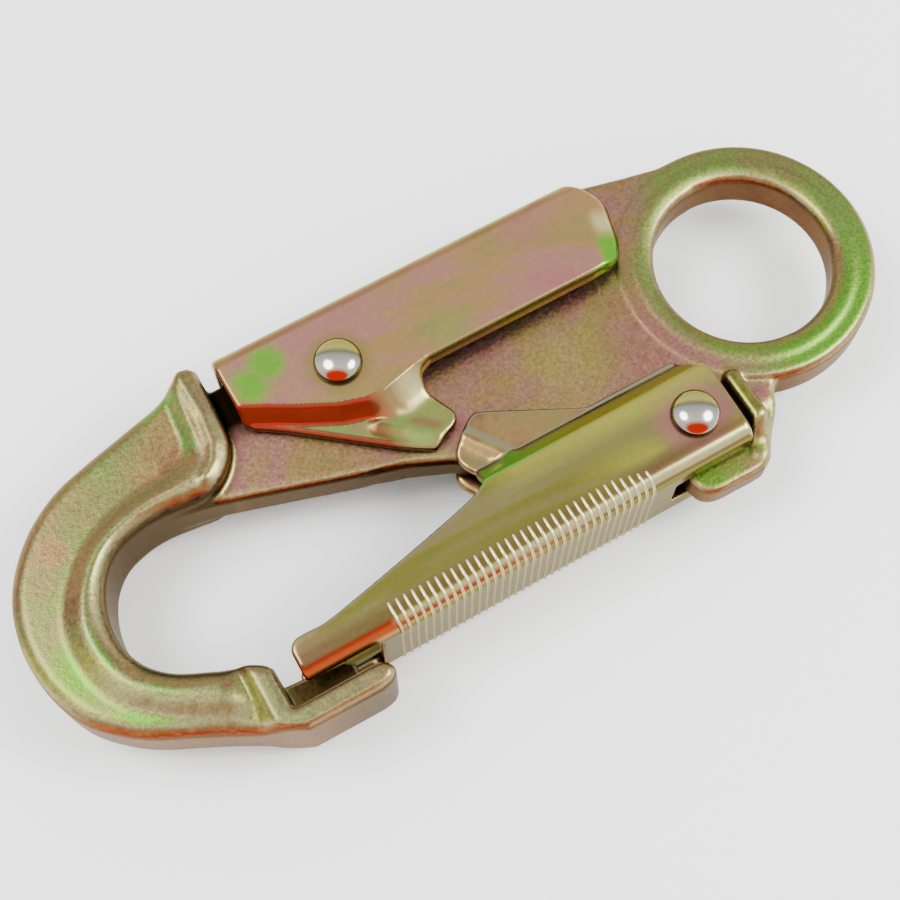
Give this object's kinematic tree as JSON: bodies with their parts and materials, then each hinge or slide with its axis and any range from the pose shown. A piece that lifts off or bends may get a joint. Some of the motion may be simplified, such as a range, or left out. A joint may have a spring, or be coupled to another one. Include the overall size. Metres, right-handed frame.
{
  "type": "safety snap hook",
  "caption": "Flat forged safety snap hook with a round eye, a sprung channel gate and a sprung back lever that blocks the gate.",
  "frame": {"origin": "centre of the eye hole, at mid thickness", "axes": "+X from the hook bowl towards the eye along the hook's length, +Y towards the lock lever's side, +Z through the thickness along the eye hole's axis"},
  "size_m": [0.1344, 0.0544, 0.0208],
  "materials": {
    "forged_zinc": "satin yellow zinc",
    "stamped_zinc": "semi-gloss yellow zinc",
    "rivet_steel": "bright",
    "spring_steel": "drawn wire"
  },
  "bodies": {
    "hook": {"hook_body": "forged_zinc", "gate_rivet": "rivet_steel", "lock_rivet": "rivet_steel", "gate_spring_upper": "spring_steel", "gate_spring_lower": "spring_steel", "lock_spring_upper": "spring_steel", "lock_spring_lower": "spring_steel"},
    "gate": {"gate": "stamped_zinc"},
    "lock_lever": {"lock_lever": "stamped_zinc"}
  },
  "joints": [
    {"name": "gate_hinge", "type": "hinge", "parent": "hook", "child": "gate", "pos_m": [-0.0212, -0.0185, 0], "axis": [0, 0, 1], "range_deg": [-20, 0], "stiffness_Nm_per_rad": 0.25, "springref_deg": 28.65, "deforming": ["gate_spring_upper", "gate_spring_lower"]},
    {"name": "lock_hinge", "type": "hinge", "parent": "hook", "child": "lock_lever", "pos_m": [-0.0599, 0.0124, 0], "axis": [0, 0, 1], "range_deg": [-12, 0], "stiffness_Nm_per_rad": 0.25, "springref_deg": 28.65, "deforming": ["lock_spring_upper", "lock_spring_lower"]}
  ],
  "couplings": [
    {"joint": "lock_hinge", "follows": "gate_hinge", "ratio": 0.6}
  ]
}
